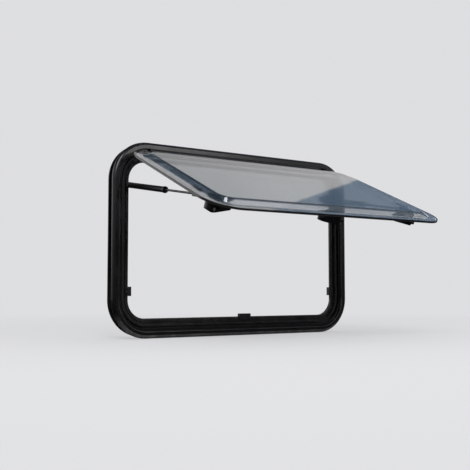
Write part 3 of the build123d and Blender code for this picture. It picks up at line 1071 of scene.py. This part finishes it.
@dataclass
class TurnLatch:
    """One latch: the ribs of its grip and its release button."""

    shop: Workshop
    name: str
    place: Matrix
    hub_depth: float = 34.5
    tip_depth: float = 27.0
    start: float = -10.0
    end: float = 51.0
    rib_start: float = 24.0
    rib_step: float = 4.0
    rib_count: int = 5
    rib_size: Triple = (1.8, 13.0, 1.5)
    rib_rounding: float = 0.6
    rib_sunk: float = 0.6
    button_size: Triple = (13.0, 11.0, 2.6)
    button_at: float = 4.0
    button_rounding: float = 1.1
    button_sunk: float = 0.8

    @property
    def slope(self) -> float:
        """The fall of the handle's top along the lever."""
        return (self.tip_depth - self.hub_depth) / (self.end - self.start)

    def on_top(self, along: float, sunk: float) -> Matrix:
        """A place on the handle's sloping top.

        Args:
            along: The distance along the lever in millimetres.
            sunk: How deep below the top, in millimetres.

        Returns:
            The place in the window's frame.
        """
        rise = self.hub_depth + self.slope * (along - self.start) - sunk
        tilt = Matrix.Rotation(-math.atan(self.slope), 4, "Y")
        return self.place @ Matrix.Translation((along * MM, 0, rise * MM)) @ tilt

    def build(self) -> None:
        """Make the latch's small pieces."""
        body = Body.LATCH.named(self.name)
        ribs = self.shop.rows.run(
            Shapes.block(self.rib_size, self.rib_rounding), self.shop.finishes.by_slot[Slot.LATCH],
            step=self.rib_step * MM, count=self.rib_count)
        ribs.transform(self.on_top(self.rib_start, self.rib_sunk))
        self.shop.piece("latch_grip_" + self.name, ribs, body, Slot.LATCH)
        block = Shapes.block(self.button_size, self.button_rounding)
        button = Shapes.merged([(block, self.on_top(self.button_at, self.button_sunk))])
        self.shop.piece("latch_button_" + self.name, button, body, Slot.LATCH)


@dataclass
class Stay:
    """One telescopic stay: its ribbed collar, the rod's wiper and the caps of its two pins."""

    shop: Workshop
    side: Side
    pivot: Vector
    along: Vector
    tube_length: float = 182.99
    collar_length: float = 7.0
    collar_radius: float = 8.2
    rib_count: int = 28
    rib_size: Triple = (5.2, 0.9, 0.7)
    rib_rounding: float = 0.3
    rib_rounding_steps: int = 2
    rib_sunk: float = 0.35
    wiper: Profile = ((2.95, 0.0), (5.4, 0.0), (5.2, 1.0), (3.6, 1.7), (2.95, 1.3), (2.95, 0.0))
    wiper_steps: int = 32
    cap: Profile = ((0.0, 0.0), (5.0, 0.0), (5.0, 0.7), (4.2, 1.3), (2.4, 1.8), (0.0, 2.0))
    cap_steps: int = 28
    eye_half: float = 4.5
    pin_out: float = 4.0
    cap_gap: float = 0.35
    reach: float = 331.56

    def at(self, distance: float) -> Vector:
        """The place at a distance from the pivot along the stay, in millimetres."""
        return self.pivot + self.along * distance * MM

    def build(self) -> None:
        """Make the stay's small pieces."""
        body = Body.STAY_TUBE.named(self.side.word)
        ribs = self.shop.rings.run(
            Shapes.block(self.rib_size, self.rib_rounding, self.rib_rounding_steps),
            self.shop.finishes.by_slot[Slot.FITTING],
            radius=(self.collar_radius - self.rib_sunk) * MM, count=self.rib_count)
        ribs.transform(facing(self.at(self.tube_length + self.collar_length / 2), -ACROSS, self.along))
        self.shop.piece("stay_grip_" + self.side.word, ribs, body, Slot.FITTING)
        end = facing(self.at(self.tube_length + self.collar_length), self.along, ACROSS)
        wiper = Shapes.merged([(Shapes.lathe(self.wiper, self.wiper_steps), end)])
        self.shop.piece("stay_wiper_" + self.side.word, wiper, body, Slot.RUBBER)
        self.caps()

    def caps(self) -> None:
        """Round caps on the ends of the frame's pin and the flap's pin."""
        out = ACROSS * -self.side.value
        for name, spot, half, body in (("stay_pivot_cap_", self.pivot, self.eye_half, Body.FRAME),
                                       ("stay_pin_cap_", self.at(self.reach), self.pin_out, Body.FLAP)):
            face = facing(spot + out * (half + self.cap_gap) * MM, out, Vector((0, 0, 1)))
            cap = Shapes.merged([(Shapes.lathe(self.cap, self.cap_steps), face)])
            self.shop.piece(name + self.side.word, cap, body.named(), Slot.ROD, self.shop.finishes.screw)


@dataclass
class Flap:
    """The flap's small pieces: its brackets' screws, the strip between its panes and its rim's lip."""

    shop: Workshop
    plane: FlapPlane
    bracket_span: float = 12.5
    bracket_base: float = 3.0
    pin_depth: float = 11.0
    screw_radius: float = 2.6
    screw_height: float = 1.2
    strip_gap: float = 0.08
    strip_weld: float = 1e-6
    corner_steps: int = 24
    lip_top: float = 150.0
    lip_section: Profile = ((0.2, 9.12), (0.2, 7.2), (2.4, 7.2), (2.4, 9.12))

    def build(self, pins: list[Vector], strip: bpy.types.Object) -> None:
        """Make the flap's strip, its lip and its screws.

        Args:
            pins: The place of each stay's pin.
            strip: The CAD node of the strip between the panes.
        """
        self.bond(strip)
        self.lip()
        places = []
        down = self.bracket_base - self.pin_depth
        for pin in pins:
            for end in (-self.bracket_span, self.bracket_span):
                spot = pin + self.plane.inwards * down * MM + self.plane.upwards * end * MM
                places.append(facing(spot, self.plane.inwards, ACROSS))
        self.shop.screw_set("flap_bracket_screws", places, self.screw_radius, self.screw_height,
                            Body.FLAP.named())

    def bond(self, strip: bpy.types.Object) -> None:
        """Make the strip a hair thinner than its gap, so that its faces don't lie in the panes' own.

        Args:
            strip: The CAD node that the piece replaces.
        """
        work = bmesh.new()
        work.from_mesh(strip.data)
        bmesh.ops.transform(work, matrix=strip.matrix_world, verts=work.verts)
        bmesh.ops.remove_doubles(work, verts=work.verts, dist=self.strip_weld)
        bmesh.ops.recalc_face_normals(work, faces=work.faces)
        work.normal_update()
        moves = [vert.normal * (vert.calc_shell_factor() * self.strip_gap * MM) for vert in work.verts]
        for vert, move in zip(work.verts, moves):
            vert.co -= move
        made = self.shop.piece("pane_bond_strip", Shapes.finished(work), Body.FLAP.named(), Slot.BOND)
        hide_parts("pane_gasket")

    def rim_path(self, inset: float) -> list[Point]:
        """The shut rim's outline, down its left side, along its front and up its right side.

        Args:
            inset: How far inside the rim's edge the path lies, in millimetres.

        Returns:
            The place across and the height of each point, in millimetres.
        """
        corner = self.plane.corner
        radius = corner - inset
        path = [(inset - self.plane.half_width, self.lip_top)]
        for step in range(self.corner_steps + 1):
            turn = math.pi * (1 + step / self.corner_steps / 2)
            across = radius * math.cos(turn) - self.plane.half_width + corner
            path.append((across, radius * math.sin(turn) + self.plane.low_edge + corner))
        return path + [(-across, up) for across, up in reversed(path)]

    def lip(self) -> None:
        """Dark strip that hangs under the rim's edge on its two sides and its front, put there as painted
        shade.
        """
        work = bmesh.new()
        rows = []
        hinge = Vector(self.plane.hinge)
        for inset, proud in self.lip_section:
            out = self.plane.inwards * (-proud - hinge.y)
            row = []
            for across, up in self.rim_path(inset):
                spot = hinge + ACROSS * across + out + self.plane.upwards * (up - hinge.z)
                row.append(work.verts.new(spot * MM))
            rows.append(row)
        for row, after in zip(rows, rows[1:] + rows[:1]):
            for index in range(len(row) - 1):
                work.faces.new((row[index], row[index + 1], after[index + 1], after[index]))
        for end in (0, -1):
            work.faces.new([row[end] for row in rows])
        # The dark strip is painted shade along the rim's edge
        self.shop.piece("pane_edge_lip", Shapes.finished(work), Body.FLAP.named(), Slot.STRIP)


@dataclass(frozen=True)
class Lamp:
    """A soft lamp, square unless it has a length, in metres and watts."""

    name: str
    place: Triple
    aim: Triple
    size: float
    power: float
    length: float = 0.0

    def hang(self) -> None:
        """Hang the lamp at its place and point it at its aim."""
        data = bpy.data.lights.new(self.name, "AREA")
        data.shape = "RECTANGLE"
        data.size = self.size
        data.size_y = self.length or self.size
        data.energy = self.power
        made = bpy.data.objects.new(self.name, data)
        made.location = self.place
        made.rotation_euler = (Vector(self.aim) - Vector(self.place)).to_track_quat("-Z", "Y").to_euler()
        made.visible_transmission = False
        bpy.context.scene.collection.objects.link(made)


@dataclass
class Studio:
    """Pale floor, soft light and the camera at the photograph's angle."""

    backdrop: Colour = (0.73, 0.735, 0.75)
    ambient: float = 0.62
    ceiling: Colour = (0.90, 0.888, 0.886)
    ceiling_foot: Limits = (0.335, 0.40, 0.0, 1.0)
    dimming: Limits = (0.34, 0.6, 1.0, 0.4)
    flag: Colour = (0.21, 0.295, 0.415)
    flag_side: Triple = (-0.318, 0.783, -0.534)
    flag_edge: Limits = (0.0015, -0.0015, 0.0, 1.0)
    flag_foot: Limits = (0.345, 0.385, 0.0, 1.0)
    overhead: Limits = (0.55, 0.585, 0.0, 1.0)
    low: Limits = (0.16, 0.09, 0.0, 1.0)
    front: Limits = (-0.15, -0.45, 0.0, 0.96)
    floor_level: float = -0.2546
    floor_radius: float = 40.0
    floor_steps: int = 96
    floor_roughness: float = 0.9
    floor_fade: Limits = (0.7, 2.2, 0.55, 1.0)
    floor_gloss: Limits = (0.0, 1.0, 1.0, 0.06)
    lens: float = 64.034
    sensor: float = 36.0
    place: Triple = (-1.3681, -1.8951, -0.1306)
    yaw: float = -35.553
    pitch: float = 3.793
    lamps: tuple[Lamp, ...] = (
        Lamp("key", (-1.9, -2.3, 2.3), (0.0, -0.1, 0.05), 1.8, 62.0),
        Lamp("fill", (1.2, -2.8, 1.3), (0.0, 0.0, 0.2), 1.3, 18.0),
        Lamp("high", (1.8, -0.1, 1.95), (0.0, -0.4, 0.1), 0.8, 2.0, 1.8),
        Lamp("rear", (-1.9, 2.3, 0.9), (0.0, 0.0, 0.0), 1.6, 9.0),
        Lamp("sun", (0.37, -0.39, 2.475), (-0.2, -0.3, 0.0), 0.2, 1.3),
    )

    def build(self) -> None:
        """Set up the floor, the world, the lamps and the camera."""
        self.floor()
        self.world()
        for lamp in self.lamps:
            lamp.hang()
        self.camera()
        bpy.context.scene.view_settings.view_transform = "Standard"

    @staticmethod
    def seen(bench: NodeBench) -> Socket:
        """One where a ray comes from the camera, a gloss or glass, and nought elsewhere.

        Args:
            bench: The tree in the making.

        Returns:
            The share of the pale backdrop.
        """
        path = bench.add("ShaderNodeLightPath").outputs
        mirrored = bench.math("MAXIMUM", path["Is Camera Ray"], path["Is Glossy Ray"])
        return bench.math("MAXIMUM", mirrored, path["Is Transmission Ray"])

    @staticmethod
    def gloss(bench: NodeBench) -> Socket:
        """One where a ray was mirrored and nought where it came through glass.

        Args:
            bench: The tree in the making.

        Returns:
            The share of a gloss.
        """
        path = bench.add("ShaderNodeLightPath").outputs
        alone = bench.math("SUBTRACT", path["Is Glossy Ray"], path["Is Transmission Ray"])
        return bench.math("MAXIMUM", alone, 0.0)

    def world(self) -> None:
        """A plain ambient light, behind which the pale backdrop shows."""
        world = bpy.data.worlds.new("studio")
        bpy.context.scene.world = world
        world.use_nodes = True
        bench = NodeBench(world.node_tree)
        light = bench.tree.nodes["Background"]
        bench.feed(light.inputs["Color"], (1.0, 1.0, 1.0, 1.0))
        bench.feed(light.inputs["Strength"], self.ambient)
        tone, level = self.sky(bench)
        pale = bench.add("ShaderNodeBackground", {"Color": tone, "Strength": level})
        plain = bench.add("ShaderNodeBackground", {"Color": (*self.backdrop, 1.0)})
        around = bench.layered(self.seen(bench), light, pale)
        camera = bench.add("ShaderNodeLightPath").outputs["Is Camera Ray"]
        whole = bench.layered(camera, around, plain)
        bench.feed(bench.tree.nodes["World Output"].inputs["Surface"], whole.outputs[0])

    def sky(self, bench: NodeBench) -> tuple[Socket, Socket]:
        """The backdrop by direction: a dimmer ceiling, a dusky blue flag and a dark one low in front.

        The blue flag covers what is overhead and hangs lower on one side, and leaves the other side of the
        flap clear. The dark one lets the frame's face look black.

        Args:
            bench: The world's tree in the making.

        Returns:
            The backdrop's colour and its strength.
        """
        place = bench.add("ShaderNodeTexCoord").outputs["Generated"]
        across = bench.add("ShaderNodeVectorMath", {0: place, 1: self.flag_side}, operation="DOT_PRODUCT")
        _, depth, height = bench.axes(place)
        beside = bench.remap(across.outputs["Value"], *self.flag_edge)
        hanging = bench.product(bench.remap(height, *self.flag_foot), beside)
        flagged = bench.math("MAXIMUM", bench.remap(height, *self.overhead), hanging)
        tone = bench.blend(bench.remap(height, *self.ceiling_foot), self.backdrop, self.ceiling)
        tone = bench.blend(flagged, tone, self.flag)
        ahead = bench.product(bench.remap(height, *self.low), bench.remap(depth, *self.front))
        clear = bench.math("SUBTRACT", 1.0, bench.product(ahead, self.gloss(bench)))
        return tone, bench.product(bench.remap(height, *self.dimming), clear)

    def floor(self) -> None:
        """A wide round floor that keeps the shadow."""
        work = bmesh.new()
        bmesh.ops.create_circle(work, cap_ends=True, segments=self.floor_steps, radius=self.floor_radius)
        bmesh.ops.translate(work, verts=work.verts, vec=(0, 0, self.floor_level))
        mesh = bpy.data.meshes.new("floor")
        work.to_mesh(mesh)
        work.free()
        mesh.materials.append(self.paper())
        ground = bpy.data.objects.new("floor", mesh)
        bpy.context.scene.collection.objects.link(ground)

    def paper(self) -> bpy.types.Material:
        """Matt paper that fades into the plain backdrop away from the window, and is dim in its glosses.

        Returns:
            The floor's material.
        """
        bench = MaterialBench("floor_paper")
        tone = (*self.backdrop, 1.0)
        bench.set("Base Color", tone)
        bench.set("Roughness", self.floor_roughness)
        bench.set("Specular IOR Level", 0.0)
        reach = bench.add("ShaderNodeVectorMath", {0: bench.place}, operation="LENGTH").outputs["Value"]
        gloss = self.gloss(bench)
        level = bench.remap(gloss, *self.floor_gloss)
        pale = bench.add("ShaderNodeEmission", {"Color": tone, "Strength": level})
        share = bench.product(self.seen(bench), bench.remap(reach, *self.floor_fade))
        whole = bench.layered(bench.math("MAXIMUM", share, gloss), bench.shader, pale)
        bench.feed(bench.tree.nodes["Material Output"].inputs["Surface"], whole.outputs[0])
        return bench.material

    def camera(self) -> None:
        """Set the camera where the photograph was taken from."""
        data = bpy.data.cameras.new("camera")
        data.lens = self.lens
        data.sensor_width = self.sensor
        made = bpy.data.objects.new("camera", data)
        made.location = self.place
        made.rotation_euler = (math.radians(90.0 + self.pitch), 0.0, math.radians(self.yaw))
        bpy.context.scene.collection.objects.link(made)
        bpy.context.scene.camera = made


def main() -> None:
    """Load the frame, dress it, and build each sub-assembly in order."""
    logging.basicConfig(level=logging.INFO, format="%(message)s")
    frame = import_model()
    joints = {joint["name"]: joint for joint in frame["joints"]}
    finishes = Finishes()
    finishes.dress(frame["nodes"], frame["record"])
    shop = Workshop(finishes)
    plane = FlapPlane()
    ClampFrame(shop).build()
    for name, lever in {"left": ACROSS, "right": -ACROSS, "bottom": -ACROSS}.items():
        hub = Vector(joints["latch_turn_" + name]["pos_m"])
        TurnLatch(shop, name, facing(hub, plane.inwards, lever)).build()
    pins = []
    for side in Side:
        pivot = Vector(joints["stay_swing_" + side.word]["pos_m"])
        along = Vector(joints["stay_slide_" + side.word]["axis"]).normalized()
        stay = Stay(shop, side, pivot, along)
        stay.build()
        pins.append(stay.at(stay.reach))
    Flap(shop, plane).build(pins, frame["nodes"]["pane_gasket"])
    Studio().build()


if __name__ == "__main__":
    main()
